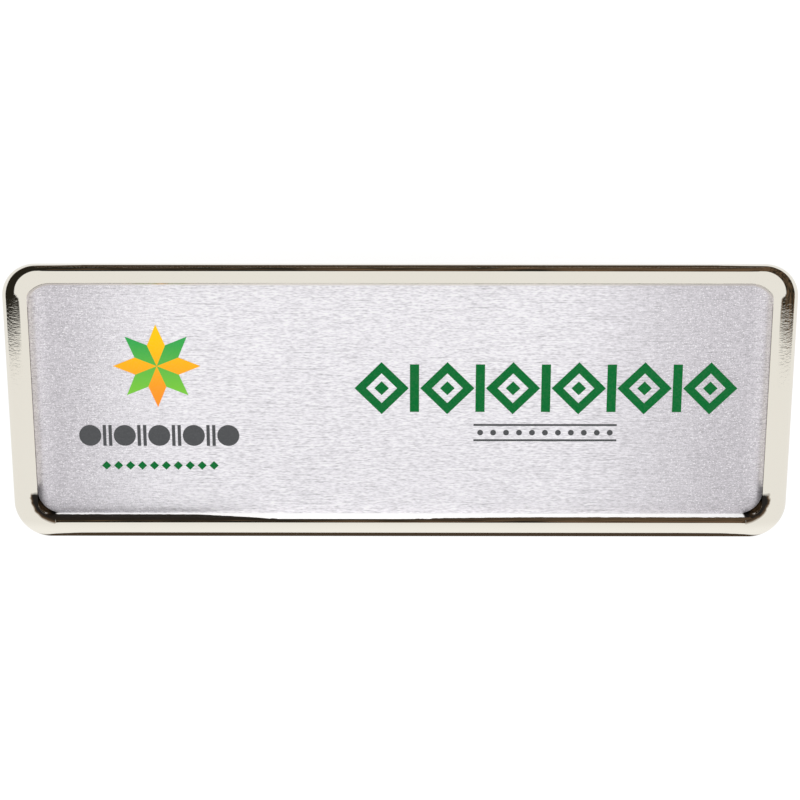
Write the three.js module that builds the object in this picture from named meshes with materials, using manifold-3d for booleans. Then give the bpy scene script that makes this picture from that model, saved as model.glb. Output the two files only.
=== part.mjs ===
// A framed name badge: a polished tray with a raised rounded rim, a brushed plate laid in the tray,
// and a plain bar pin across its back. The badge lies face up on the feet of its pin.
// Millimetres, +Z up. X runs along the badge and +Y points to its top edge.
// The origin is on the surface that it lies on, under the middle of the badge.

import * as THREE from 'three';
import { mergeVertices } from 'three/addons/utils/BufferGeometryUtils.js';
import Module from 'manifold-3d';

const wasm = await Module();
wasm.setup();

// Insert plate: the face that carries the printing
const INSERT_LENGTH = 76.2;
const INSERT_HEIGHT = 25.4;
const INSERT_THICKNESS = 0.6;
const INSERT_CORNER = 2.5;
const INSERT_EDGE_BREAK = 0.08;
const INSERT_CLEARANCE = 0.1;
const ADHESIVE_FILM = 0.1;

// Bezel rim: along the long sides a crown that turns over a tight edge, at the ends a wide quarter ellipse
const RIM_WIDTH_ENDS = 2.36;
const RIM_WIDTH_LONG = 2.05;
const RIM_RISE = 1.8;
const CROWN_RADIUS = 1.2;
const EDGE_RADIUS = 0.35;
const EDGE_STARTS_AT = Math.PI / 3;
const ENDS_CREST_INSET = 2.3;
const ENDS_CREST_DROP = 1.6;
const OUTER_CORNER = 3.5;
const CREST_CORNER = 2.4;

// Bezel inside: a round, then a steep wall down to the plate, whose corners are rounder than the recess
const INNER_RADIUS = 0.9;
const INNER_ROUND_TO = Math.PI / 3;
const INNER_LIP = 0.1;
const RECESS_CORNER = 1.6;

// Bezel back: flat, with a wide round up to the edge
const TRAY_FLOOR = 0.7;
const BACK_ROUND = 1.6;

// Bar pin: strip, hinge ears, knuckle, wire and catch, made as one piece
const PIN_STRIP_LENGTH = 38;
const PIN_STRIP_WIDTH = 6;
const PIN_STRIP_THICKNESS = 0.8;
const PIN_STRIP_CORNER = 1.2;
const PIN_HEIGHT = 4.2;
const PIN_WIRE_DIAMETER = 1.0;
const PIN_FOOT_LENGTH = 4.2;
const PIN_FOOT_CORNER = 0.9;
const PIN_EAR_THICKNESS = 0.8;
const PIN_KNUCKLE_DIAMETER = 2.2;
const PIN_KNUCKLE_CLEARANCE = 0.1;
const PIN_CATCH_WIDTH = 5;
const PIN_CATCH_SLOT = 1.1;
const PIN_END_MARGIN = 0.6;

// Steps of the faceted curves
const CORNER_STEPS = 10;
const ROLL_STEPS = 12;
const UNDER_STEPS = 8;
const ROUND_STEPS = 20;
const FOOT_STEPS = 6;
const WELD_DISTANCE = 1e-5;

// Heights that follow from the sizes above
const BEZEL_BACK = PIN_HEIGHT + ADHESIVE_FILM;
const TRAY_FLOOR_TOP = BEZEL_BACK + TRAY_FLOOR;
const INSERT_BACK = TRAY_FLOOR_TOP + ADHESIVE_FILM;
const INSERT_FACE = INSERT_BACK + INSERT_THICKNESS;
const RIM_CREST = INSERT_FACE + RIM_RISE;
const CROWN_INSET = CROWN_RADIUS * Math.sin(EDGE_STARTS_AT) + EDGE_RADIUS * (1 - Math.sin(EDGE_STARTS_AT));
const CROWN_DROP = CROWN_RADIUS * (1 - Math.cos(EDGE_STARTS_AT)) + EDGE_RADIUS * Math.cos(EDGE_STARTS_AT);
const RIM_HEIGHT = RIM_CREST - BEZEL_BACK;
const INNER_DEPTH = RIM_RISE - INNER_LIP;
const PIN_WIRE_LEVEL = PIN_KNUCKLE_DIAMETER / 2 + PIN_KNUCKLE_CLEARANCE;

// Outlines that follow from the sizes above
const RECESS = {
  halfX: INSERT_LENGTH / 2 + INSERT_CLEARANCE,
  halfY: INSERT_HEIGHT / 2 + INSERT_CLEARANCE,
  corner: RECESS_CORNER,
};
const OUTLINE = {
  halfX: RECESS.halfX + RIM_WIDTH_ENDS,
  halfY: RECESS.halfY + RIM_WIDTH_LONG,
  corner: OUTER_CORNER,
};
const CREST = {
  halfX: OUTLINE.halfX - ENDS_CREST_INSET,
  halfY: OUTLINE.halfY - CROWN_INSET,
  corner: CREST_CORNER,
};
const BACK_CORNER = OUTER_CORNER - BACK_ROUND;

const metal = (color, roughness) => new THREE.MeshStandardMaterial({ color, roughness, metalness: 1 });
const MATERIALS = {
  bezel: metal(0xe6e0d2, 0.08),
  insert_plate: metal(0xdcdae0, 0.35),
  bar_pin: metal(0xc9c6bf, 0.25),
};

// One loop of points round a rounded rectangle at height z, anticlockwise seen from above.
function roundedLoop({ halfX, halfY, corner }, z) {
  const quarters = [[1, -1], [1, 1], [-1, 1], [-1, -1]];
  return quarters.flatMap(([sideX, sideY], quarter) =>
    Array.from({ length: CORNER_STEPS + 1 }, (_, step) => {
      const angle = (Math.PI / 2) * (quarter - 1 + step / CORNER_STEPS);
      return [
        sideX * (halfX - corner) + corner * Math.cos(angle),
        sideY * (halfY - corner) + corner * Math.sin(angle),
        z,
      ];
    }));
}

// A closed skin through loops of equal length. The first and last loops are capped flat.
function loftLoops(loops) {
  const count = loops[0].length;
  const points = loops.flat();
  const triangles = [];
  for (let level = 0; level < loops.length - 1; level++) {
    for (let i = 0; i < count; i++) {
      const next = (i + 1) % count;
      const [a, b] = [level * count + i, level * count + next];
      const [c, d] = [b + count, a + count];
      triangles.push(a, b, c, a, c, d);
    }
  }
  const capLoop = (loop, first, facingUp) => {
    const middle = points.push([0, 0, loop[0][2]]) - 1;
    for (let i = 0; i < count; i++) {
      const [a, b] = [first + i, first + ((i + 1) % count)];
      triangles.push(middle, ...(facingUp ? [a, b] : [b, a]));
    }
  };
  capLoop(loops[0], 0, false);
  capLoop(loops.at(-1), (loops.length - 1) * count, true);
  const geometry = new THREE.BufferGeometry();
  geometry.setAttribute('position', new THREE.Float32BufferAttribute(points.flat(), 3));
  geometry.setIndex(triangles);
  return geometry;
}

const mix = (from, to, share) => from + (to - from) * share;

// How far a quarter ellipse has run out at a depth below its top.
function ellipseOffset(width, depth, drop) {
  const rest = 1 - Math.min(drop / depth, 1);
  return width * Math.sqrt(1 - rest ** 2);
}

// How far a round that leaves its start upright has drawn in, at a depth below that start.
function underInset(width, depth, drop) {
  return width * (1 - Math.sqrt(1 - Math.min(drop / depth, 1) ** 2));
}

// How far the crown of a long side has run out from the crest, at a depth below it.
function crownOffset(drop) {
  const turnDrop = CROWN_RADIUS * (1 - Math.cos(EDGE_STARTS_AT));
  if (drop <= turnDrop) return ellipseOffset(CROWN_RADIUS, CROWN_RADIUS, drop);
  const cosine = Math.max(Math.cos(EDGE_STARTS_AT) - (drop - turnDrop) / EDGE_RADIUS, 0);
  const onEdge = Math.sqrt(1 - cosine ** 2) - Math.sin(EDGE_STARTS_AT);
  return CROWN_RADIUS * Math.sin(EDGE_STARTS_AT) + EDGE_RADIUS * onEdge;
}

// How far the inside of a long side has run in from the crest, at a depth below it.
function innerOffset(drop) {
  const turnDrop = INNER_RADIUS * (1 - Math.cos(INNER_ROUND_TO));
  if (drop <= turnDrop) return ellipseOffset(INNER_RADIUS, INNER_RADIUS, drop);
  const share = (drop - turnDrop) / (INNER_DEPTH - turnDrop);
  return mix(INNER_RADIUS * Math.sin(INNER_ROUND_TO), CREST.halfY - RECESS.halfY, share);
}

// The outline of the rim's outside at a depth below the crest, down to the back.
function outerOutline(drop) {
  const underLong = underInset(BACK_ROUND, RIM_HEIGHT - CROWN_DROP, drop - CROWN_DROP);
  const underEnds = underInset(BACK_ROUND, RIM_HEIGHT - ENDS_CREST_DROP, drop - ENDS_CREST_DROP);
  const overEnds = drop < ENDS_CREST_DROP;
  return {
    halfX: overEnds
      ? CREST.halfX + ellipseOffset(ENDS_CREST_INSET, ENDS_CREST_DROP, drop)
      : OUTLINE.halfX - underEnds,
    halfY: drop < CROWN_DROP ? CREST.halfY + crownOffset(drop) : OUTLINE.halfY - underLong,
    corner: overEnds
      ? mix(CREST_CORNER, OUTER_CORNER, ellipseOffset(1, ENDS_CREST_DROP, drop))
      : mix(OUTER_CORNER, BACK_CORNER, underEnds / BACK_ROUND),
  };
}

// The outline of the rim's inside at a depth below the crest, down to the plate.
function innerOutline(drop) {
  return {
    halfX: CREST.halfX - ellipseOffset(CREST.halfX - RECESS.halfX, INNER_DEPTH, drop),
    halfY: CREST.halfY - innerOffset(drop),
    corner: mix(CREST_CORNER, RECESS.corner, drop / INNER_DEPTH),
  };
}

// Depths of the loops outside the crest, deepest first. Three lie on the tight edge of the long sides.
function outerDrops() {
  const turnDrop = CROWN_RADIUS * (1 - Math.cos(EDGE_STARTS_AT));
  const under = Array.from({ length: UNDER_STEPS }, (_, step) =>
    mix(ENDS_CREST_DROP, RIM_HEIGHT, Math.sin((Math.PI / 2) * ((step + 1) / UNDER_STEPS))));
  const over = Array.from({ length: ROLL_STEPS + 1 }, (_, step) =>
    ENDS_CREST_DROP * (1 - Math.cos((Math.PI / 2) * (step / ROLL_STEPS))));
  const edge = [turnDrop, (turnDrop + CROWN_DROP) / 2, CROWN_DROP];
  return [...over, ...edge, ...under].sort((a, b) => b - a);
}

function bezelGeometry() {
  const innerDrops = Array.from({ length: ROLL_STEPS }, (_, step) =>
    INNER_DEPTH * ((step + 1) / ROLL_STEPS) ** 2);
  return loftLoops([
    ...outerDrops().map((drop) => roundedLoop(outerOutline(drop), RIM_CREST - drop)),
    ...innerDrops.map((drop) => roundedLoop(innerOutline(drop), RIM_CREST - drop)),
    roundedLoop(RECESS, TRAY_FLOOR_TOP),
  ]);
}

function insertGeometry() {
  const side = { halfX: INSERT_LENGTH / 2, halfY: INSERT_HEIGHT / 2, corner: INSERT_CORNER };
  const face = {
    halfX: side.halfX - INSERT_EDGE_BREAK,
    halfY: side.halfY - INSERT_EDGE_BREAK,
    corner: side.corner - INSERT_EDGE_BREAK,
  };
  return loftLoops([
    roundedLoop(side, INSERT_BACK),
    roundedLoop(side, INSERT_FACE - INSERT_EDGE_BREAK),
    roundedLoop(face, INSERT_FACE),
  ]);
}

// A geometry as a solid that can be joined and cut.
function toSolid(geometry) {
  const bare = geometry.clone();
  bare.deleteAttribute('normal');
  bare.deleteAttribute('uv');
  const merged = mergeVertices(bare, WELD_DISTANCE);
  return new wasm.Manifold(new wasm.Mesh({
    numProp: 3,
    vertProperties: Float32Array.from(merged.attributes.position.array),
    triVerts: Uint32Array.from(merged.index.array),
  }));
}

function toGeometry(solid) {
  const { vertProperties, triVerts } = solid.getMesh();
  const geometry = new THREE.BufferGeometry();
  geometry.setAttribute('position', new THREE.Float32BufferAttribute(Array.from(vertProperties), 3));
  geometry.setIndex(Array.from(triVerts));
  return geometry;
}

const join = (solids) => solids.reduce((whole, solid) => whole.add(solid));

// A cylinder along X or Y through a middle point.
function rod(diameter, length, axis, middle) {
  const geometry = new THREE.CylinderGeometry(diameter / 2, diameter / 2, length, ROUND_STEPS);
  if (axis === 'x') geometry.rotateZ(Math.PI / 2);
  geometry.translate(...middle);
  return toSolid(geometry);
}

function box(size, middle) {
  const geometry = new THREE.BoxGeometry(...size);
  geometry.translate(...middle);
  return toSolid(geometry);
}

// A plate standing in the XZ plane whose two lower corners are rounded, as an ear or a catch is.
function footPlate(length, width, top, xMiddle, yMiddle) {
  const half = length / 2;
  const corner = PIN_FOOT_CORNER;
  const shape = new THREE.Shape();
  shape.moveTo(-half, top);
  shape.lineTo(-half, corner);
  shape.absarc(-half + corner, corner, corner, Math.PI, 1.5 * Math.PI, false);
  shape.lineTo(half - corner, 0);
  shape.absarc(half - corner, corner, corner, 1.5 * Math.PI, 2 * Math.PI, false);
  shape.lineTo(half, top);
  shape.closePath();
  const settings = { depth: width, bevelEnabled: false, curveSegments: FOOT_STEPS };
  const geometry = new THREE.ExtrudeGeometry(shape, settings);
  geometry.rotateX(Math.PI / 2);
  geometry.translate(xMiddle, yMiddle + width / 2, 0);
  return toSolid(geometry);
}

function barPinGeometry() {
  const stripBack = PIN_HEIGHT - PIN_STRIP_THICKNESS;
  const stripOutline = { halfX: PIN_STRIP_LENGTH / 2, halfY: PIN_STRIP_WIDTH / 2, corner: PIN_STRIP_CORNER };
  const stripLoops = [stripBack, PIN_HEIGHT].map((z) => roundedLoop(stripOutline, z));
  const strip = toSolid(loftLoops(stripLoops));
  const footTop = stripBack + PIN_STRIP_THICKNESS / 2;
  const footX = PIN_STRIP_LENGTH / 2 - PIN_END_MARGIN - PIN_FOOT_LENGTH / 2;

  const earY = (PIN_STRIP_WIDTH - PIN_EAR_THICKNESS) / 2 - PIN_END_MARGIN;
  const ears = [-earY, earY].map((y) => footPlate(PIN_FOOT_LENGTH, PIN_EAR_THICKNESS, footTop, -footX, y));
  const knuckle = rod(PIN_KNUCKLE_DIAMETER, 2 * earY, 'y', [-footX, 0, PIN_WIRE_LEVEL]);

  // The catch's slot lies just above the wire, is open to one side and runs out at both ends.
  const catchBlock = footPlate(PIN_FOOT_LENGTH, PIN_CATCH_WIDTH, footTop, footX, 0);
  const slotDepth = PIN_CATCH_WIDTH / 2;
  const slot = box(
    [2 * PIN_FOOT_LENGTH, slotDepth, PIN_CATCH_SLOT],
    [footX, -slotDepth / 2, PIN_WIRE_LEVEL + (PIN_CATCH_SLOT + PIN_WIRE_DIAMETER) / 2],
  );
  const wire = rod(PIN_WIRE_DIAMETER, 2 * footX, 'x', [0, 0, PIN_WIRE_LEVEL]);
  return toGeometry(join([strip, ...ears, knuckle, catchBlock.subtract(slot), wire]));
}

const badge = new THREE.Group();
const pieces = {
  bezel: bezelGeometry(),
  insert_plate: insertGeometry(),
  bar_pin: barPinGeometry(),
};
for (const [name, geometry] of Object.entries(pieces)) {
  geometry.computeVertexNormals();
  const mesh = new THREE.Mesh(geometry, MATERIALS[name]);
  mesh.name = name;
  badge.add(mesh);
}

export default badge;
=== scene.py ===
"""A framed name badge that lies face up on its pin: looks, light and camera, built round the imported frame.

Sizes are in millimetres up to the point where a mesh or the camera is made. Only the lamp's size and place and
the camera's clipping are given in metres.
X runs along the badge, +Y points to its top edge and +Z out of its face.
"""
import math

import bmesh
import bpy
from mathutils import Matrix, Vector


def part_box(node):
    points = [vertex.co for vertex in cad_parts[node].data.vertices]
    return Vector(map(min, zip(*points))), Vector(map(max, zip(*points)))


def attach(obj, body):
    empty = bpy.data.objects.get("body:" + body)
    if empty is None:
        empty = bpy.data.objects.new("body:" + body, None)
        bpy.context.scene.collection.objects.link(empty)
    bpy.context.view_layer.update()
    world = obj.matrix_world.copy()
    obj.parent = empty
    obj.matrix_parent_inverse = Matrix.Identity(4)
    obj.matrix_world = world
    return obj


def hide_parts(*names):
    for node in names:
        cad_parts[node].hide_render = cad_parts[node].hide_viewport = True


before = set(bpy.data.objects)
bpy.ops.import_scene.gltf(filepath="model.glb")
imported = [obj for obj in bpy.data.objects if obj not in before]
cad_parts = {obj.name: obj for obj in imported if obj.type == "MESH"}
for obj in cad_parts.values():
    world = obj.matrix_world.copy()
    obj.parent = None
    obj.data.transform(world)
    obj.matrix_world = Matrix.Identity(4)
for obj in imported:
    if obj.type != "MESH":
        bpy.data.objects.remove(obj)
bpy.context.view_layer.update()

MM = 0.001
BODY = "root"


def box_mm(node):
    """Lowest and highest corner of a solid of the frame, in millimetres."""
    low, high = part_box(node)
    return low / MM, high / MM


# Levels and outlines that the frame gives
BEZEL_LOW, BEZEL_HIGH = box_mm("bezel")
PLATE_LOW, PLATE_HIGH = box_mm("insert_plate")
FACE = PLATE_HIGH.z
CREST = BEZEL_HIGH.z

# Plate
PLATE_CORNER = 2.5
PLATE_EDGE_BREAK = 0.02
RECESS_CLEARANCE = 0.01

# Plate's tone: painted highlight along its middle, painted shade at both ends and towards its foot, painted light
# by the end walls
PLATE_HIGHLIGHT = (0.90, 0.88, 0.92, 1)
PLATE_SHADE_GREY = (0.64, 0.615, 0.65, 1)
PLATE_FADES_LEFT = (-36, -21)
PLATE_FADES_RIGHT = (16, 35)
PLATE_FADES_WANDER = 1.2
PLATE_SHADED = (-11, 11)
PLATE_FOOT_SHADE = 0.96
PLATE_LIFTED = (35.6, 38.4)
PLATE_LIFT = 1.34
PLATE_SPARKLES = (18, 34)
BRUSHING_REPEATS = 10

# Bezel section along the long sides: a crown that turns over a tight edge, and a wide round below
CROWN_RADIUS = 1.2
EDGE_RADIUS = 0.35
EDGE_STARTS_AT = math.pi / 3
BACK_ROUND = 1.6

# Bezel section at the ends: a quarter ellipse, wider and deeper than the crown, with a lip that leans inwards
ENDS_CREST_INSET = 2.72
ENDS_CREST_DROP = 1.6

# Bezel section inside: a tight round, then a steep wall down to the plate
INNER_RADIUS = 1.12
INNER_ROUND_TO = math.radians(65)
INNER_LIP = 0.1
TRAY_FLOOR = 0.7

# Bezel corners, at the widest line, at the crest, at the plate and at the back
OUTER_CORNER = 3.5
CREST_CORNER = 2.4
RECESS_TOP_CORNER = 2.9
RECESS_FOOT_CORNER = 1.0
BACK_CORNER = 1.9

# Bezel plating, with a painted highlight along the foot
PLATED_PALE = (0.905, 0.870, 0.785, 1)
PLATED_DEEP = (0.885, 0.842, 0.745, 1)
PLATED_FOOT_HIGHLIGHT = (0.985, 0.945, 0.85, 1)
FOOT_HIGHLIGHT_SPAN = (-14.0, -12.8)
HAIRS_START = (38.4, 39.0)

# Matt painted shade and painted highlight of the recess, how far their limits stray, and from where along x they
# stray in full
SHADE_BLACK = (0.012, 0.010, 0.008, 1)
SHADE_BROWN = (0.13, 0.08, 0.04, 1)
HIGHLIGHT_WHITE = (0.98, 0.98, 0.97, 1)
HIGHLIGHT_GLOW = 0.3
PAINTED_MARGIN = 0.05
PAINTED_STRAYS = 0.07
PAINTED_STRAYS_FROM = (30, 36)

# Foot wall of the recess: heights over the plate up to which it has a painted white highlight or a painted dark
# reflection, and where along x these change
WALL_HIGHLIGHT_TO = (0.3, 1.35)
WALL_HIGHLIGHT_RISES = (-23, -11)
WALL_HIGHLIGHT_LOSS = 0.42
WALL_HIGHLIGHT_FALLS = (-4, 16)
WALL_HIGHLIGHT_MOST = 1.25
WALL_SHADE_TO = 1.4
WALL_SHADE_BROWNS = (-12, 28)

# Painted dark reflection in the two foot corners of the recess: the middle of its arc and its outer radius. Then
# the spans over which it begins past that middle, ends at that radius and turns brown inside it
CORNER_REFLECTION_CENTRE = (35.6, -10.2)
CORNER_REFLECTION_RADIUS = 3.0
CORNER_REFLECTION_BEGINS_X = (0.5, 0.7)
CORNER_REFLECTION_BEGINS_Y = (-0.6, -0.2)
CORNER_REFLECTION_ENDS = (CORNER_REFLECTION_RADIUS - 0.08, CORNER_REFLECTION_RADIUS + 0.16)
CORNER_REFLECTION_BROWNS = (CORNER_REFLECTION_RADIUS - 0.30, CORNER_REFLECTION_RADIUS + 0.05)

# Fineness of the lofted meshes, and the angles from which edges stay sharp
CORNER_STEPS = 28
LONG_STEPS = 48
SHORT_STEPS = 20
ROLL_STEPS = 28
SHARP_FROM = math.radians(35)
PIN_SHARP_FROM = math.radians(30)

# Welding of the pin's solid, in metres, and the angle up to which its faces count as one
WELD_DISTANCE = 1e-7
FLAT_UP_TO = math.radians(2)

# Print, in millimetres on the plate
INK_GAP = 0.004
INK_THICKNESS = 0.03
ROUND_SIDES = 40

# Camera, solved from the photograph's converging edges
LENS = 105
SENSOR = 36
CAMERA_DISTANCE = 241.9
CAMERA_TILT = math.radians(19.83)
CAMERA_YAW = math.radians(0.15)
CLIP_START = 0.01
CLIP_END = 20


# Meshes

def rounded_ring(outline, z):
    """Points round a rounded rectangle, anticlockwise from above, with evenly split straight sides.

    A fourth number in the outline is the radius of the two corners at the foot, where they differ.
    """
    half_x, half_y, corner_top = outline[:3]
    corner_foot = outline[-1] if len(outline) > 3 else corner_top
    centres = [(1, -1), (1, 1), (-1, 1), (-1, -1)]
    steps_after = [SHORT_STEPS, LONG_STEPS, SHORT_STEPS, LONG_STEPS]
    arcs = []
    for quarter, (side_x, side_y) in enumerate(centres):
        start = math.pi / 2 * (quarter - 1)
        corner = corner_top if side_y > 0 else corner_foot
        middle = Vector((side_x * (half_x - corner), side_y * (half_y - corner), z))
        angles = [start + math.pi / 2 * step / CORNER_STEPS for step in range(CORNER_STEPS + 1)]
        arcs.append([middle + Vector((corner * math.cos(a), corner * math.sin(a), 0)) for a in angles])
    points = []
    for quarter, arc in enumerate(arcs):
        points += arc
        next_start = arcs[(quarter + 1) % 4][0]
        count = steps_after[quarter]
        points += [arc[-1].lerp(next_start, step / count) for step in range(1, count)]
    return points


def loft(rings):
    """Vertices and faces of a closed skin through rings of equal length, capped flat at both ends."""
    count = len(rings[0])
    vertices = [point for ring in rings for point in ring]
    faces = []
    for level in range(len(rings) - 1):
        low = level * count
        for i in range(count):
            j = (i + 1) % count
            faces.append((low + i, low + j, low + count + j, low + count + i))
    top = (len(rings) - 1) * count
    faces.append(tuple(reversed(range(count))))
    faces.append(tuple(range(top, top + count)))
    return vertices, faces


def make_piece(name, vertices, faces, material, slot=None, smooth=True):
    """A mesh piece of the badge, from millimetre points, that rides on the badge's one body."""
    mesh = bpy.data.meshes.new(name)
    mesh.from_pydata([tuple(Vector(v) * MM) for v in vertices], [], faces)
    mesh.update()
    if smooth:
        mesh.shade_smooth()
        mesh.set_sharp_from_angle(angle=SHARP_FROM)
    piece = bpy.data.objects.new(name, mesh)
    bpy.context.scene.collection.objects.link(piece)
    mesh.materials.append(material)
    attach(piece, BODY)
    return piece


# Materials

class Nodes:
    """A new material's node tree, with short calls for the few nodes that the materials use."""

    def __init__(self, name):
        self.material = bpy.data.materials.new(name)
        self.material.use_nodes = True
        self.tree = self.material.node_tree
        self.shader = self.tree.nodes["Principled BSDF"]

    def add(self, kind, inputs=None, **settings):
        node = self.tree.nodes.new(kind)
        for key, value in settings.items():
            setattr(node, key, value)
        for key, value in (inputs or {}).items():
            self.feed(node, key, value)
        return node

    def feed(self, node, key, value):
        if isinstance(value, bpy.types.NodeSocket):
            self.tree.links.new(value, node.inputs[key])
        else:
            node.inputs[key].default_value = value

    def set(self, **values):
        for key, value in values.items():
            self.feed(self.shader, key.replace("_", " ").title(), value)

    def axes(self):
        """Object coordinates, one socket for each axis."""
        coordinates = self.add("ShaderNodeTexCoord").outputs["Object"]
        return tuple(self.add("ShaderNodeSeparateXYZ", {0: coordinates}).outputs)

    def place(self, scale):
        """Object coordinates, stretched by a scale for each axis, in repeats a metre."""
        coordinates = self.add("ShaderNodeTexCoord").outputs["Object"]
        return self.add("ShaderNodeMapping", {"Vector": coordinates, "Scale": scale}).outputs["Vector"]

    def noise(self, scale, detail=2.0, roughness=0.5):
        """Noise whose size along each axis is given in repeats a metre."""
        inputs = {"Vector": self.place(scale), "Scale": 1.0, "Detail": detail, "Roughness": roughness}
        return self.add("ShaderNodeTexNoise", inputs).outputs["Fac"]

    def math(self, operation, first, second=0.0):
        return self.add("ShaderNodeMath", {0: first, 1: second}, operation=operation).outputs[0]

    def product(self, first, *factors):
        for factor in factors:
            first = self.math("MULTIPLY", first, factor)
        return first

    def remap(self, value, low, high, to_low, to_high):
        inputs = {"Value": value, "From Min": low, "From Max": high, "To Min": to_low, "To Max": to_high}
        return self.add("ShaderNodeMapRange", inputs, interpolation_type="SMOOTHSTEP").outputs["Result"]

    def remap_mm(self, value, low, high, to_low, to_high):
        """A remap from a span that is given in millimetres."""
        return self.remap(value, low * MM, high * MM, to_low, to_high)

    def mix_value(self, share, first, second):
        difference = self.math("SUBTRACT", second, first)
        return self.math("ADD", first, self.math("MULTIPLY", share, difference))

    def mix(self, share, first, second):
        node = self.add("ShaderNodeMix", data_type="RGBA")
        self.feed(node, 0, share)
        self.feed(node, 6, first)
        self.feed(node, 7, second)
        return node.outputs[2]

    def bump(self, height, depth, before=None):
        inputs = {"Height": height, "Distance": depth, "Strength": 1.0}
        node = self.add("ShaderNodeBump", inputs)
        if before:
            self.feed(node, "Normal", before)
        return node.outputs["Normal"]


def colour(red, green, blue):
    """A linear colour from the 0 to 255 values that a picture shows."""
    shares = (red / 255, green / 255, blue / 255)
    return (*(v / 12.92 if v <= 0.04 else ((v + 0.055) / 1.055) ** 2.4 for v in shares), 1.0)


def corner_reflection_zone(n, x, y, stray):
    """Where the painted dark reflection of a foot corner lies, and where in it the black turns brown."""
    right = n.math("ADD", n.math("SUBTRACT", x, CORNER_REFLECTION_CENTRE[0] * MM), stray)
    down = n.math("SUBTRACT", n.math("SUBTRACT", CORNER_REFLECTION_CENTRE[1] * MM, y), stray)
    square = n.math("ADD", n.math("MULTIPLY", right, right), n.math("MULTIPLY", down, down))
    spread = n.math("ADD", n.math("SQRT", square), n.math("MULTIPLY", stray, 0.5))
    within = n.remap_mm(spread, *CORNER_REFLECTION_ENDS, 1.0, 0.0)
    past_x = n.remap_mm(right, *CORNER_REFLECTION_BEGINS_X, 0.0, 1.0)
    past_y = n.remap_mm(down, *CORNER_REFLECTION_BEGINS_Y, 0.0, 1.0)
    brown = n.remap_mm(spread, *CORNER_REFLECTION_BROWNS, 0.0, 1.0)
    return n.product(within, past_x, past_y), brown


def foot_wall_painted_light(n, along, z, stray):
    """Where the foot wall has its painted dark reflection, and how far up its painted white highlight may reach at
    all.
    """
    stray = n.math("MULTIPLY", stray, n.remap_mm(n.math("ABSOLUTE", along), *PAINTED_STRAYS_FROM, 0.5, 1.0))
    rise = n.remap_mm(along, *WALL_HIGHLIGHT_RISES, *(level * MM for level in WALL_HIGHLIGHT_TO))
    loss = n.remap_mm(along, *WALL_HIGHLIGHT_FALLS, 0.0, WALL_HIGHLIGHT_LOSS * MM)
    highlight_top = n.math("ADD", n.math("SUBTRACT", rise, loss), stray)
    over_highlight = n.remap_mm(n.math("SUBTRACT", z, highlight_top), FACE - 0.03, FACE + 0.03, 0.0, 1.0)
    low = n.remap_mm(z, FACE + WALL_HIGHLIGHT_MOST, FACE + WALL_HIGHLIGHT_MOST + 0.06, 1.0, 0.0)
    over_highlight = n.math("MAXIMUM", over_highlight, n.math("SUBTRACT", 1.0, low))
    under_limit = n.math("LESS_THAN", z, (FACE + WALL_SHADE_TO) * MM)
    return n.math("MULTIPLY", under_limit, over_highlight), low


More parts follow.
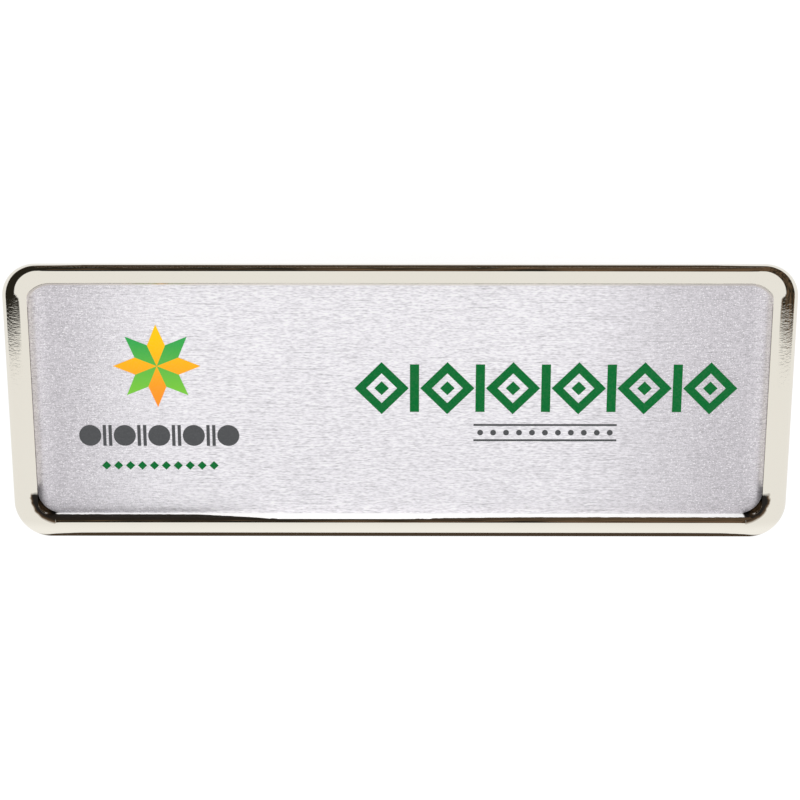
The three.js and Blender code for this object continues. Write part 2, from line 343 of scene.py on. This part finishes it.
def bezel_metal():
    """Polished pale-gold plating: faint waves from the polishing wheel and fine hairs across the ends.

    Below the plate's face the tray is painted matt black as shade in the recess. A painted dark reflection climbs
    the inner wall in the two foot corners. Between them the wall has a painted white, glowing highlight up to a
    changing height, and a painted dark reflection over that. Along the foot the plating is lighter, a painted
    highlight.
    """
    n = Nodes("bezel_metal")
    along, y, z = n.axes()
    x = n.math("ABSOLUTE", along)
    plated = n.mix(n.noise((60, 60, 60), detail=3), PLATED_PALE, PLATED_DEEP)
    # painted highlight: the plating is brighter along the foot
    plated = n.mix(n.remap_mm(y, *FOOT_HIGHLIGHT_SPAN, 1.0, 0.0), plated, PLATED_FOOT_HIGHLIGHT)

    above_back = n.remap_mm(z, BEZEL_LOW.z + 0.3, BEZEL_LOW.z + 0.5, 0.0, 1.0)
    near_x = n.math("LESS_THAN", x, (PLATE_HIGH.x + PAINTED_MARGIN) * MM)
    near_y = n.math("LESS_THAN", n.math("ABSOLUTE", y), (PLATE_HIGH.y + PAINTED_MARGIN) * MM)
    # painted shade: the recess below the plate's face is black and matt
    under_face = n.remap_mm(z, FACE - 0.15, FACE + 0.02, 1.0, 0.0)
    recess_shade = n.product(near_x, near_y, above_back, under_face)

    stray = n.remap(n.noise((1300, 1300, 1300)), 0.3, 0.7, -PAINTED_STRAYS * MM, PAINTED_STRAYS * MM)
    # painted dark reflection in the two foot corners
    corner_reflection, corner_reflection_brown = corner_reflection_zone(n, x, y, stray)
    inside_crest = n.math("GREATER_THAN", y, -(BEZEL_HIGH.y - CROWN_RADIUS) * MM)
    past_plate = n.math("LESS_THAN", y, -(PLATE_HIGH.y - PAINTED_MARGIN) * MM)
    foot_wall = n.product(near_x, inside_crest, past_plate)
    # painted dark reflection on the foot wall over its painted white highlight
    wall_shade, low = foot_wall_painted_light(n, along, z, stray)
    wall_shade = n.product(wall_shade, foot_wall, above_back)
    dark = n.math("MAXIMUM", wall_shade, n.math("MAXIMUM", recess_shade, n.math("MULTIPLY", corner_reflection, above_back)))
    # painted highlight: the foot wall is white and glows up to a changing height
    pale = n.product(foot_wall, low, n.math("SUBTRACT", above_back, dark))
    matt = n.math("GREATER_THAN", n.math("ADD", dark, pale), 0.5)
    brown = n.mix_value(wall_shade, corner_reflection_brown, n.remap_mm(along, *WALL_SHADE_BROWNS, 0.1, 0.75))

    polish = n.remap(n.noise((900, 900, 900)), 0.3, 0.8, 0.03, 0.07)
    waves = n.bump(n.noise((110, 110, 110), detail=1), 4e-6)
    hairs = n.noise((500, 4500, 4500), detail=2, roughness=0.65)
    hairs = n.math("MULTIPLY", hairs, n.remap_mm(x, *HAIRS_START, 0.0, 1.0))
    n.set(
        base_color=n.mix(dark, n.mix(pale, plated, HIGHLIGHT_WHITE), n.mix(brown, SHADE_BLACK, SHADE_BROWN)),
        metallic=n.math("SUBTRACT", 1.0, matt),
        roughness=n.mix_value(matt, polish, 0.6),
        emission_color=(1, 1, 1, 1),
        emission_strength=n.math("MULTIPLY", pale, HIGHLIGHT_GLOW),
        normal=n.bump(hairs, 3.5e-6, waves),
    )
    n.shader.inputs["Specular IOR Level"].default_value = 0.1
    return n.material


def insert_metal():
    """Silver plate brushed lengthways, with a painted highlight along its middle; at both ends painted shade greys
    it, with a sparkle.
    """
    n = Nodes("insert_metal")
    place_x, place_y, _ = n.axes()
    x = n.math("ABSOLUTE", place_x)
    wander = n.noise((90, 25, 90), detail=2)
    wander = n.remap(wander, 0.3, 0.7, -PLATE_FADES_WANDER * MM, PLATE_FADES_WANDER * MM)
    along = n.math("ADD", place_x, wander)
    # painted highlight along the middle, painted shade greyer at both ends
    left = n.remap_mm(along, *PLATE_FADES_LEFT, 1.0, 0.0)
    right = n.remap_mm(along, *PLATE_FADES_RIGHT, 0.0, 1.0)
    painted_light_tone = n.mix(n.math("MAXIMUM", left, right), PLATE_HIGHLIGHT, PLATE_SHADE_GREY)
    # painted shade towards the foot, and painted light beside the end walls against their dark reflection
    foot_shade = n.remap_mm(place_y, *PLATE_SHADED, PLATE_FOOT_SHADE, 1.0)
    lift = n.remap_mm(x, *PLATE_LIFTED, 1.0, PLATE_LIFT)

    streaks = n.noise((1000, 5800, 5800), detail=1)
    fine = n.noise((2200, 9000, 9000), detail=1)
    hairs = n.remap(n.noise((170, 9500, 9500), detail=1), 0.60, 0.70, 0.0, -1.0)
    glints = n.remap(n.noise((260, 9500, 9500), detail=1), 0.62, 0.72, 0.0, 0.8)
    brushed = n.math("SUBTRACT", n.math("ADD", n.math("MULTIPLY", streaks, 0.6), fine), 0.8)
    brushed = n.math("ADD", brushed, n.math("MULTIPLY", n.math("ADD", hairs, glints), 0.24))

    specks = n.noise((8500, 8500, 8500), detail=1, roughness=0.6)
    sparks = n.remap(n.noise((6000, 11000, 9000), detail=0), 0.64, 0.78, 0.0, 1.0)
    sparkle = n.math("ADD", n.math("MULTIPLY", n.math("SUBTRACT", specks, 0.5), 1.5), sparks)

    ends = n.remap_mm(x, *PLATE_SPARKLES, 0.0, 1.0)
    brushed = n.math("MULTIPLY", brushed, n.remap(ends, 0.0, 1.0, 1.0, 0.6))
    grain = n.math("ADD", brushed, n.math("MULTIPLY", sparkle, n.math("MULTIPLY", ends, 0.7)))
    shade = n.product(n.math("ADD", n.math("MULTIPLY", grain, 0.85), 1.0), foot_shade, lift)
    n.set(
        base_color=n.add("ShaderNodeVectorMath", {0: painted_light_tone, "Scale": shade}, operation="SCALE").outputs["Vector"],
        metallic=0.8,
        roughness=0.34,
        anisotropic=0.7,
        normal=n.bump(grain, 1.2e-6),
        tangent=n.add("ShaderNodeTangent", direction_type="UV_MAP", uv_map="brushing").outputs["Tangent"],
    )
    return n.material


def pin_metal():
    """Nickel-plated steel with a satin finish."""
    n = Nodes("pin_metal")
    scratches = n.noise((500, 4000, 4000), detail=4)
    n.set(
        base_color=n.mix(n.noise((200, 200, 200)), (0.62, 0.60, 0.57, 1), (0.50, 0.48, 0.45, 1)),
        metallic=1.0,
        roughness=n.remap(scratches, 0.3, 0.7, 0.22, 0.38),
        normal=n.bump(scratches, 2e-6),
    )
    return n.material


def ink(name, foot, head=None, span=(0, 1)):
    """A matt printed colour with a slight mottle, which may turn to a second one between two heights in y."""
    n = Nodes(name)
    printed = n.mix(n.remap_mm(n.axes()[1], *span, 0.0, 1.0), foot, head or foot)
    mottle = n.noise((5000, 5000, 5000), detail=3)
    worn = n.mix(n.remap(mottle, 0.35, 0.75, 0.0, 0.03), printed, (0.5, 0.5, 0.5, 1))
    n.set(base_color=worn, metallic=0.0, roughness=n.remap(mottle, 0.2, 0.8, 0.42, 0.6))
    n.set(normal=n.bump(mottle, 1e-6))
    n.shader.inputs["Specular IOR Level"].default_value = 0.05
    return n.material


# Pieces

def crown_offset(drop):
    """How far the crown of a long side has run out from the crest, at a depth below it."""
    turn = CROWN_RADIUS * (1 - math.cos(EDGE_STARTS_AT))
    if drop <= turn:
        return math.sqrt(max(0, CROWN_RADIUS ** 2 - (CROWN_RADIUS - drop) ** 2))
    cosine = max(0, math.cos(EDGE_STARTS_AT) - (drop - turn) / EDGE_RADIUS)
    on_edge = math.sqrt(1 - cosine ** 2) - math.sin(EDGE_STARTS_AT)
    return CROWN_RADIUS * math.sin(EDGE_STARTS_AT) + EDGE_RADIUS * on_edge


def ellipse_offset(width, depth, drop):
    """How far a quarter ellipse has run out at a depth below its top."""
    return width * math.sqrt(max(0, 1 - (1 - min(drop, depth) / depth) ** 2))


def under_inset(depth, below):
    """How far the round under the widest line has drawn in, at a depth below that line."""
    return BACK_ROUND * (1 - math.sqrt(max(0, 1 - (below / depth) ** 2)))


def inner_offset(drop, width, depth):
    """How far the inside of a long side has run in from the crest, at a depth below it."""
    turn = INNER_RADIUS * (1 - math.cos(INNER_ROUND_TO))
    if drop <= turn:
        return math.sqrt(max(0, INNER_RADIUS ** 2 - (INNER_RADIUS - drop) ** 2))
    start = INNER_RADIUS * math.sin(INNER_ROUND_TO)
    return start + (width - start) * (drop - turn) / (depth - turn)


def bezel():
    """The polished tray, from its back up over the rim and down to the floor that carries the plate."""
    wide_x, wide_y = BEZEL_HIGH.x, BEZEL_HIGH.y
    height = CREST - BEZEL_LOW.z
    cosine = math.cos(EDGE_STARTS_AT)
    long_drop = CROWN_RADIUS * (1 - cosine) + EDGE_RADIUS * cosine
    long_width = crown_offset(long_drop)
    rings = []
    turns = [math.pi / 2 * step / ROLL_STEPS for step in range(ROLL_STEPS + 1)]
    drops = {round(long_drop * (1 - math.cos(t)), 6) for t in turns}
    drops |= {round(ENDS_CREST_DROP * (1 - math.cos(t)), 6) for t in turns}
    drops |= {round(ENDS_CREST_DROP + (height - ENDS_CREST_DROP) * math.sin(t), 6) for t in turns}
    for drop in sorted(drops, reverse=True):
        if drop < long_drop:
            half_y = wide_y - long_width + crown_offset(drop)
        else:
            half_y = wide_y - under_inset(height - long_drop, drop - long_drop)
        if drop < ENDS_CREST_DROP:
            half_x = wide_x - ENDS_CREST_INSET + ellipse_offset(ENDS_CREST_INSET, ENDS_CREST_DROP, drop)
            share = ellipse_offset(1, ENDS_CREST_DROP, drop)
            corner = CREST_CORNER + (OUTER_CORNER - CREST_CORNER) * share
        else:
            inset = under_inset(height - ENDS_CREST_DROP, drop - ENDS_CREST_DROP)
            half_x = wide_x - inset
            corner = OUTER_CORNER + (BACK_CORNER - OUTER_CORNER) * inset / BACK_ROUND
        rings.append(rounded_ring((half_x, half_y, corner), CREST - drop))
    crest_x, crest_y = wide_x - ENDS_CREST_INSET, wide_y - long_width
    recess = (
        PLATE_HIGH.x + RECESS_CLEARANCE,
        PLATE_HIGH.y + RECESS_CLEARANCE,
        RECESS_TOP_CORNER,
        RECESS_FOOT_CORNER,
    )
    depth = CREST - FACE - INNER_LIP
    for step in range(1, 2 * ROLL_STEPS + 1):
        drop = depth * (step / (2 * ROLL_STEPS)) ** 2
        half_x = crest_x - ellipse_offset(crest_x - recess[0], depth, drop)
        half_y = crest_y - inner_offset(drop, crest_y - recess[1], depth)
        corners = [CREST_CORNER + (low - CREST_CORNER) * drop / depth for low in recess[2:]]
        rings.append(rounded_ring((half_x, half_y, *corners), CREST - drop))
    low_recess = (*recess[:2], PLATE_CORNER - RECESS_CLEARANCE, RECESS_FOOT_CORNER)
    rings.append(rounded_ring(recess, FACE + INNER_LIP / 4))
    rings.append(rounded_ring(low_recess, FACE + INNER_LIP / 4))
    rings.append(rounded_ring(low_recess, BEZEL_LOW.z + TRAY_FLOOR))
    piece = make_piece("bezel_polished", *loft(rings), bezel_metal(), "bezel_metal")
    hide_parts("bezel")


def insert_plate():
    """The brushed plate, with its edges just broken."""
    side = (PLATE_HIGH.x, PLATE_HIGH.y, PLATE_CORNER)
    face = tuple(value - PLATE_EDGE_BREAK for value in side)
    levels = ((side, PLATE_LOW.z), (side, FACE - PLATE_EDGE_BREAK), (face, FACE))
    rings = [rounded_ring(outline, z) for outline, z in levels]
    piece = make_piece("insert_plate_brushed", *loft(rings), insert_metal(), "insert_metal")
    mesh = piece.data
    brushing = mesh.uv_layers.new(name="brushing")
    for loop in mesh.loops:
        x, y, _ = mesh.vertices[loop.vertex_index].co
        brushing.data[loop.index].uv = (y * BRUSHING_REPEATS, x * BRUSHING_REPEATS)
    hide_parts("insert_plate")


def bar_pin():
    """The pin: its solid as it is, with the flat faces merged and the rounds shaded smooth."""
    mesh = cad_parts["bar_pin"].data.copy()
    work = bmesh.new()
    work.from_mesh(mesh)
    bmesh.ops.remove_doubles(work, verts=work.verts, dist=WELD_DISTANCE)
    bmesh.ops.dissolve_limit(work, angle_limit=FLAT_UP_TO, verts=work.verts, edges=work.edges)
    work.to_mesh(mesh)
    work.free()
    mesh.materials.clear()
    mesh.materials.append(pin_metal())
    mesh.shade_smooth()
    mesh.set_sharp_from_angle(angle=PIN_SHARP_FROM)
    piece = bpy.data.objects.new("bar_pin_plated", mesh)
    bpy.context.scene.collection.objects.link(piece)
    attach(piece, BODY)
    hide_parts("bar_pin")


# Print

def polygon_prisms(name, outlines, material):
    """One ink piece: each outline, a list of (x, y) on the plate, becomes a thin flat prism."""
    low = FACE + INK_GAP
    high = low + INK_THICKNESS
    vertices = []
    faces = []
    for outline in outlines:
        first = len(vertices)
        count = len(outline)
        vertices += [(x, y, low) for x, y in outline]
        vertices += [(x, y, high) for x, y in outline]
        faces.append(tuple(first + i for i in reversed(range(count))))
        faces.append(tuple(first + count + i for i in range(count)))
        for i in range(count):
            j = (i + 1) % count
            faces.append((first + i, first + j, first + count + j, first + count + i))
    return make_piece(name, vertices, faces, material, "insert_metal", smooth=False)


def disc(x, y, diameter):
    turns = [2 * math.pi * i / ROUND_SIDES for i in range(ROUND_SIDES)]
    return [(x + diameter / 2 * math.cos(t), y + diameter / 2 * math.sin(t)) for t in turns]


def bar(x, y, width, height):
    return [
        (x - width / 2, y - height / 2),
        (x + width / 2, y - height / 2),
        (x + width / 2, y + height / 2),
        (x - width / 2, y + height / 2),
    ]


def lozenge(x, y, width, height):
    return [(x - width / 2, y), (x, y - height / 2), (x + width / 2, y), (x, y + height / 2)]


def lozenge_frame(x, y, width, height, stroke):
    """The four sides of a hollow lozenge, each a quadrilateral of its own."""
    outer = lozenge(x, y, width, height)
    shrink = 1 - 2 * stroke * math.hypot(width, height) / (width * height)
    inner = lozenge(x, y, width * shrink, height * shrink)
    return [[outer[i], outer[(i + 1) % 4], inner[(i + 1) % 4], inner[i]] for i in range(4)]


def star_petal(x, y, radius, turn):
    """One of the eight lozenges of a star, with its points on the middle and on the rim."""
    half = math.pi / 8
    side = radius / (2 * math.cos(half))
    corners = [(0, 0), (side, turn - half), (radius, turn), (side, turn + half)]
    return [(x + r * math.cos(a), y + r * math.sin(a)) for r, a in corners]


def printed_ornament():
    """Generic ornament: a lozenge star over a bead strip, and a lozenge frieze over a beaded rule."""
    green = ink("ink_green", colour(0, 104, 46))
    grey = ink("ink_grey", colour(78, 79, 81))
    star_x, star_y, star_radius = -25.1, 3.7, 4.6
    span = (star_y - star_radius, star_y + star_radius)
    leaf = ink("ink_light_green", colour(125, 200, 60), colour(34, 160, 80), span)
    amber = ink("ink_amber", colour(250, 145, 40), colour(255, 200, 10), span)
    for name, material, first in (("star_amber", amber, 0), ("star_green", leaf, 1)):
        turns = [math.pi / 4 * (first + 2 * i) for i in range(4)]
        polygon_prisms(name, [star_petal(star_x, star_y, star_radius - 0.1, t) for t in turns], material)

    strip_x, strip_y, strip_pitch, strip_height = star_x, -3.95, 3.6, 2.3
    beads = [strip_x + strip_pitch * (i - 2) for i in range(5)]
    gaps = [strip_x + strip_pitch * (i - 1.5) for i in range(4)]
    shapes = [disc(x, strip_y, strip_height) for x in beads]
    shapes += [bar(x + side, strip_y, 0.34, strip_height) for x in gaps for side in (-0.3, 0.3)]
    polygon_prisms("bead_strip", shapes, grey)
    small_y, small_pitch, small_size = -7.3, 1.25, 0.95
    small = [lozenge(strip_x + small_pitch * (i - 4.5), small_y, small_size, small_size) for i in range(10)]
    polygon_prisms("lozenge_rule", small, green)

    frieze_x, frieze_y, frieze_pitch = 15.1, 1.3, 6.8
    centres = [frieze_x + frieze_pitch * (i - 2.5) for i in range(6)]
    frame_width, frame_height, frame_stroke, core, bar_width, bar_height = 5.6, 5.7, 0.85, 1.5, 0.95, 5.2
    frames = [lozenge_frame(x, frieze_y, frame_width, frame_height, frame_stroke) for x in centres]
    shapes = [side for sides in frames for side in sides]
    shapes += [lozenge(x, frieze_y, core, core) for x in centres]
    shapes += [bar(x + frieze_pitch / 2, frieze_y, bar_width, bar_height) for x in centres[:-1]]
    polygon_prisms("lozenge_frieze", shapes, green)

    rule_y, rule_length, line_width, bead, bead_pitch = -3.6, 14.9, 0.2, 0.6, 1.35
    shapes = [bar(frieze_x, rule_y + side, rule_length, line_width) for side in (-0.85, 0.85)]
    shapes += [disc(frieze_x + bead_pitch * (i - 5), rule_y, bead) for i in range(11)]
    polygon_prisms("beaded_rule", shapes, grey)


# Stage, light and camera. The dome's spans are heights and depths of a direction one long

FLOOR_RADIUS = 3000
FLOOR_SIDES = 64
FLOOR_GLOW = 0.82
DOME_RADIUS = 600
DOME_ROWS = 48
DOME_COLUMNS = 96
DOME_STARTS_AT = math.radians(-4)
OPENING_BEGINS = (-0.290, -0.268)
LINTEL_FALLS = (-0.272, -0.16)
LINTEL_HEIGHTS = (0.815, 0.68)
LINTEL_SOFT = (-0.015, 0.01)
OVERHEAD_SIZE = 1.2
OVERHEAD_POWER = 2
OVERHEAD_PLACE = (0, 0.1, 1.2)
SHEET_LEVEL = 0.4
FAR_SHEET = ((-400, 27), (-40, 27), (-33, 16.5), (33, 16.5), (40, 27), (400, 27), (400, 400), (-400, 400))
FLOOR_SHEET = ((-560, -560), (560, -560), (560, 560), (-560, 560))
FRONT_RAIL = ((10, -17), (20, -17), (30, -17), (34, -17), (37, -17), (39.5, -16.7))
FRONT_HEIGHTS = [8.8, 8.8, 8.8, 8.6, 7.6, 5.8]
FRONT_DEPTH = 40
CLOTH = (0.885, 0.885, 0.885, 1)
DARK = (0.060, 0.042, 0.028, 1)
DARKEST = (0.020, 0.018, 0.013, 1)
DARK_WARM = (0.130, 0.085, 0.052, 1)


def emission(name, middle, ends=None, span=(0, 1)):
    """Paper that shows one even colour, or turns to a second one between two distances from the middle."""
    n = Nodes(name)
    n.tree.nodes.remove(n.shader)
    paper = n.mix(n.remap_mm(n.math("ABSOLUTE", n.axes()[0]), *span, 0.0, 1.0), middle, ends or middle)
    light = n.add("ShaderNodeEmission", {"Color": paper})
    n.tree.links.new(light.outputs[0], n.tree.nodes["Material Output"].inputs["Surface"])
    return n.material


def stage_mesh(name, vertices, faces, material):
    """A mesh of the studio, from millimetre points, that is no piece of the badge."""
    mesh = bpy.data.meshes.new(name)
    mesh.from_pydata([tuple(Vector(v) * MM) for v in vertices], [], faces)
    mesh.materials.append(material)
    thing = bpy.data.objects.new(name, mesh)
    bpy.context.scene.collection.objects.link(thing)
    return thing


def seen_only_in_gloss(thing):
    thing.visible_camera = False
    thing.visible_diffuse = False
    thing.visible_shadow = False
    thing.visible_transmission = False


def floor():
    n = Nodes("floor_paper")
    n.set(base_color=(0.25, 0.25, 0.25, 1), roughness=0.9)
    n.set(emission_color=(1, 1, 1, 1), emission_strength=FLOOR_GLOW)
    n.shader.inputs["Specular IOR Level"].default_value = 0.0
    turns = [2 * math.pi * i / FLOOR_SIDES for i in range(FLOOR_SIDES)]
    ring = [(FLOOR_RADIUS * math.cos(t), FLOOR_RADIUS * math.sin(t), 0) for t in turns]
    stage_mesh("floor", ring, [tuple(range(FLOOR_SIDES))], n.material)


def studio_dome():
    """What polished metal sees of the studio: white cloth overhead and in front, dark under a lintel elsewhere."""
    n = Nodes("studio_cloth")
    n.tree.nodes.remove(n.shader)
    place = n.add("ShaderNodeTexCoord").outputs["Object"]
    direction = n.add("ShaderNodeVectorMath", {0: place}, operation="NORMALIZE").outputs["Vector"]
    parts = n.add("ShaderNodeSeparateXYZ", {0: direction}).outputs
    x, y, z = parts["X"], parts["Y"], parts["Z"]
    behind = n.remap(y, *OPENING_BEGINS, 0.0, 1.0)
    lintel = n.remap(y, *LINTEL_FALLS, *LINTEL_HEIGHTS)
    below = n.remap(n.math("SUBTRACT", z, lintel), *LINTEL_SOFT, 1.0, 0.0)
    opening = n.math("MULTIPLY", behind, below)
    stretched = n.add("ShaderNodeVectorMath", {0: direction, 1: (34, 6, 6)}, operation="MULTIPLY")
    inputs = {"Vector": stretched.outputs["Vector"], "Scale": 1.0, "Detail": 4.0}
    patches = n.add("ShaderNodeTexNoise", inputs).outputs["Fac"]
    to_right = n.math("MULTIPLY", n.math("MULTIPLY", x, 1.2), n.remap(x, 0.25, 0.6, 1.0, 0.0))
    drift = n.math("ADD", to_right, n.math("MULTIPLY", n.math("SUBTRACT", patches, 0.5), 2.2))
    dark = n.mix(n.remap(drift, -0.22, 0.30, 0.0, 1.0), DARKEST, DARK_WARM)
    light = n.add("ShaderNodeEmission", {"Color": n.mix(opening, CLOTH, dark)})
    n.tree.links.new(light.outputs[0], n.tree.nodes["Material Output"].inputs["Surface"])

    vertices = []
    for row in range(DOME_ROWS):
        rise = DOME_STARTS_AT + (math.pi / 2 - DOME_STARTS_AT) * row / DOME_ROWS
        for column in range(DOME_COLUMNS):
            turn = 2 * math.pi * column / DOME_COLUMNS
            vertices.append((
                DOME_RADIUS * math.cos(rise) * math.cos(turn),
                DOME_RADIUS * math.cos(rise) * math.sin(turn),
                DOME_RADIUS * math.sin(rise),
            ))
    vertices.append((0, 0, DOME_RADIUS))
    faces = []
    for row in range(DOME_ROWS):
        for column in range(DOME_COLUMNS):
            after = (column + 1) % DOME_COLUMNS
            low, high = row * DOME_COLUMNS, (row + 1) * DOME_COLUMNS
            if row < DOME_ROWS - 1:
                faces.append((low + column, low + after, high + after, high + column))
            else:
                faces.append((low + column, low + after, len(vertices) - 1))
    seen_only_in_gloss(stage_mesh("studio_dome", vertices, faces, n.material))


def low_sheets():
    """Paper just over the floor that only gloss shows, dark past the badge's two long sides."""
    dark = emission("dark_paper", DARK)
    pale = emission("pale_paper", CLOTH)
    fading = emission("fading_paper", DARK, CLOTH, (FRONT_RAIL[-2][0], FRONT_RAIL[-1][0]))
    for name, outline, level, material in (
        ("floor_sheet", FLOOR_SHEET, 0.5 * SHEET_LEVEL, pale),
        ("far_sheet", FAR_SHEET, SHEET_LEVEL, dark),
    ):
        corners = [(x, y, level) for x, y in outline]
        seen_only_in_gloss(stage_mesh(name, corners, [tuple(range(len(corners)))], material))
    rail = [(-x, y) for x, y in reversed(FRONT_RAIL)] + list(FRONT_RAIL)
    vertices = [(x, y, SHEET_LEVEL) for x, y in rail]
    vertices += [(x, y, height) for (x, y), height in zip(rail, FRONT_HEIGHTS[::-1] + FRONT_HEIGHTS)]
    vertices += [(x, y - FRONT_DEPTH, SHEET_LEVEL) for x, y in rail]
    count = len(rail)
    faces = [(i, i + 1, count + i + 1, count + i) for i in range(count - 1)]
    faces += [(i + 1, i, 2 * count + i, 2 * count + i + 1) for i in range(count - 1)]
    seen_only_in_gloss(stage_mesh("front_flag", vertices, faces, fading))


def lights():
    world = bpy.data.worlds.new("studio")
    world.use_nodes = True
    background = world.node_tree.nodes["Background"]
    background.inputs["Color"].default_value = (1.0, 1.0, 1.0, 1)
    background.inputs["Strength"].default_value = 1.0
    bpy.context.scene.world = world

    fill = bpy.data.lights.new("overhead", "AREA")
    fill.shape = "DISK"
    fill.size = OVERHEAD_SIZE
    fill.energy = OVERHEAD_POWER
    lamp = bpy.data.objects.new("overhead", fill)
    lamp.location = OVERHEAD_PLACE
    lamp.visible_glossy = False
    lamp.visible_camera = False
    bpy.context.scene.collection.objects.link(lamp)


def camera():
    data = bpy.data.cameras.new("camera")
    data.lens = LENS
    data.sensor_width = SENSOR
    data.clip_start = CLIP_START
    data.clip_end = CLIP_END
    back = Vector((
        math.sin(CAMERA_YAW) * math.cos(CAMERA_TILT),
        math.sin(CAMERA_TILT),
        math.cos(CAMERA_YAW) * math.cos(CAMERA_TILT),
    ))
    right = Vector((0, 1, 0)).cross(back).normalized()
    up = back.cross(right)
    turn = Matrix((right, up, back)).transposed().to_4x4()
    place = (Vector((0, 0, FACE)) + back * CAMERA_DISTANCE) * MM
    thing = bpy.data.objects.new("camera", data)
    thing.matrix_world = Matrix.Translation(place) @ turn
    bpy.context.scene.collection.objects.link(thing)
    bpy.context.scene.camera = thing


camera()
bezel()
insert_plate()
bar_pin()
printed_ornament()
floor()
studio_dome()
low_sheets()
lights()
bpy.context.scene.view_settings.view_transform = "Standard"
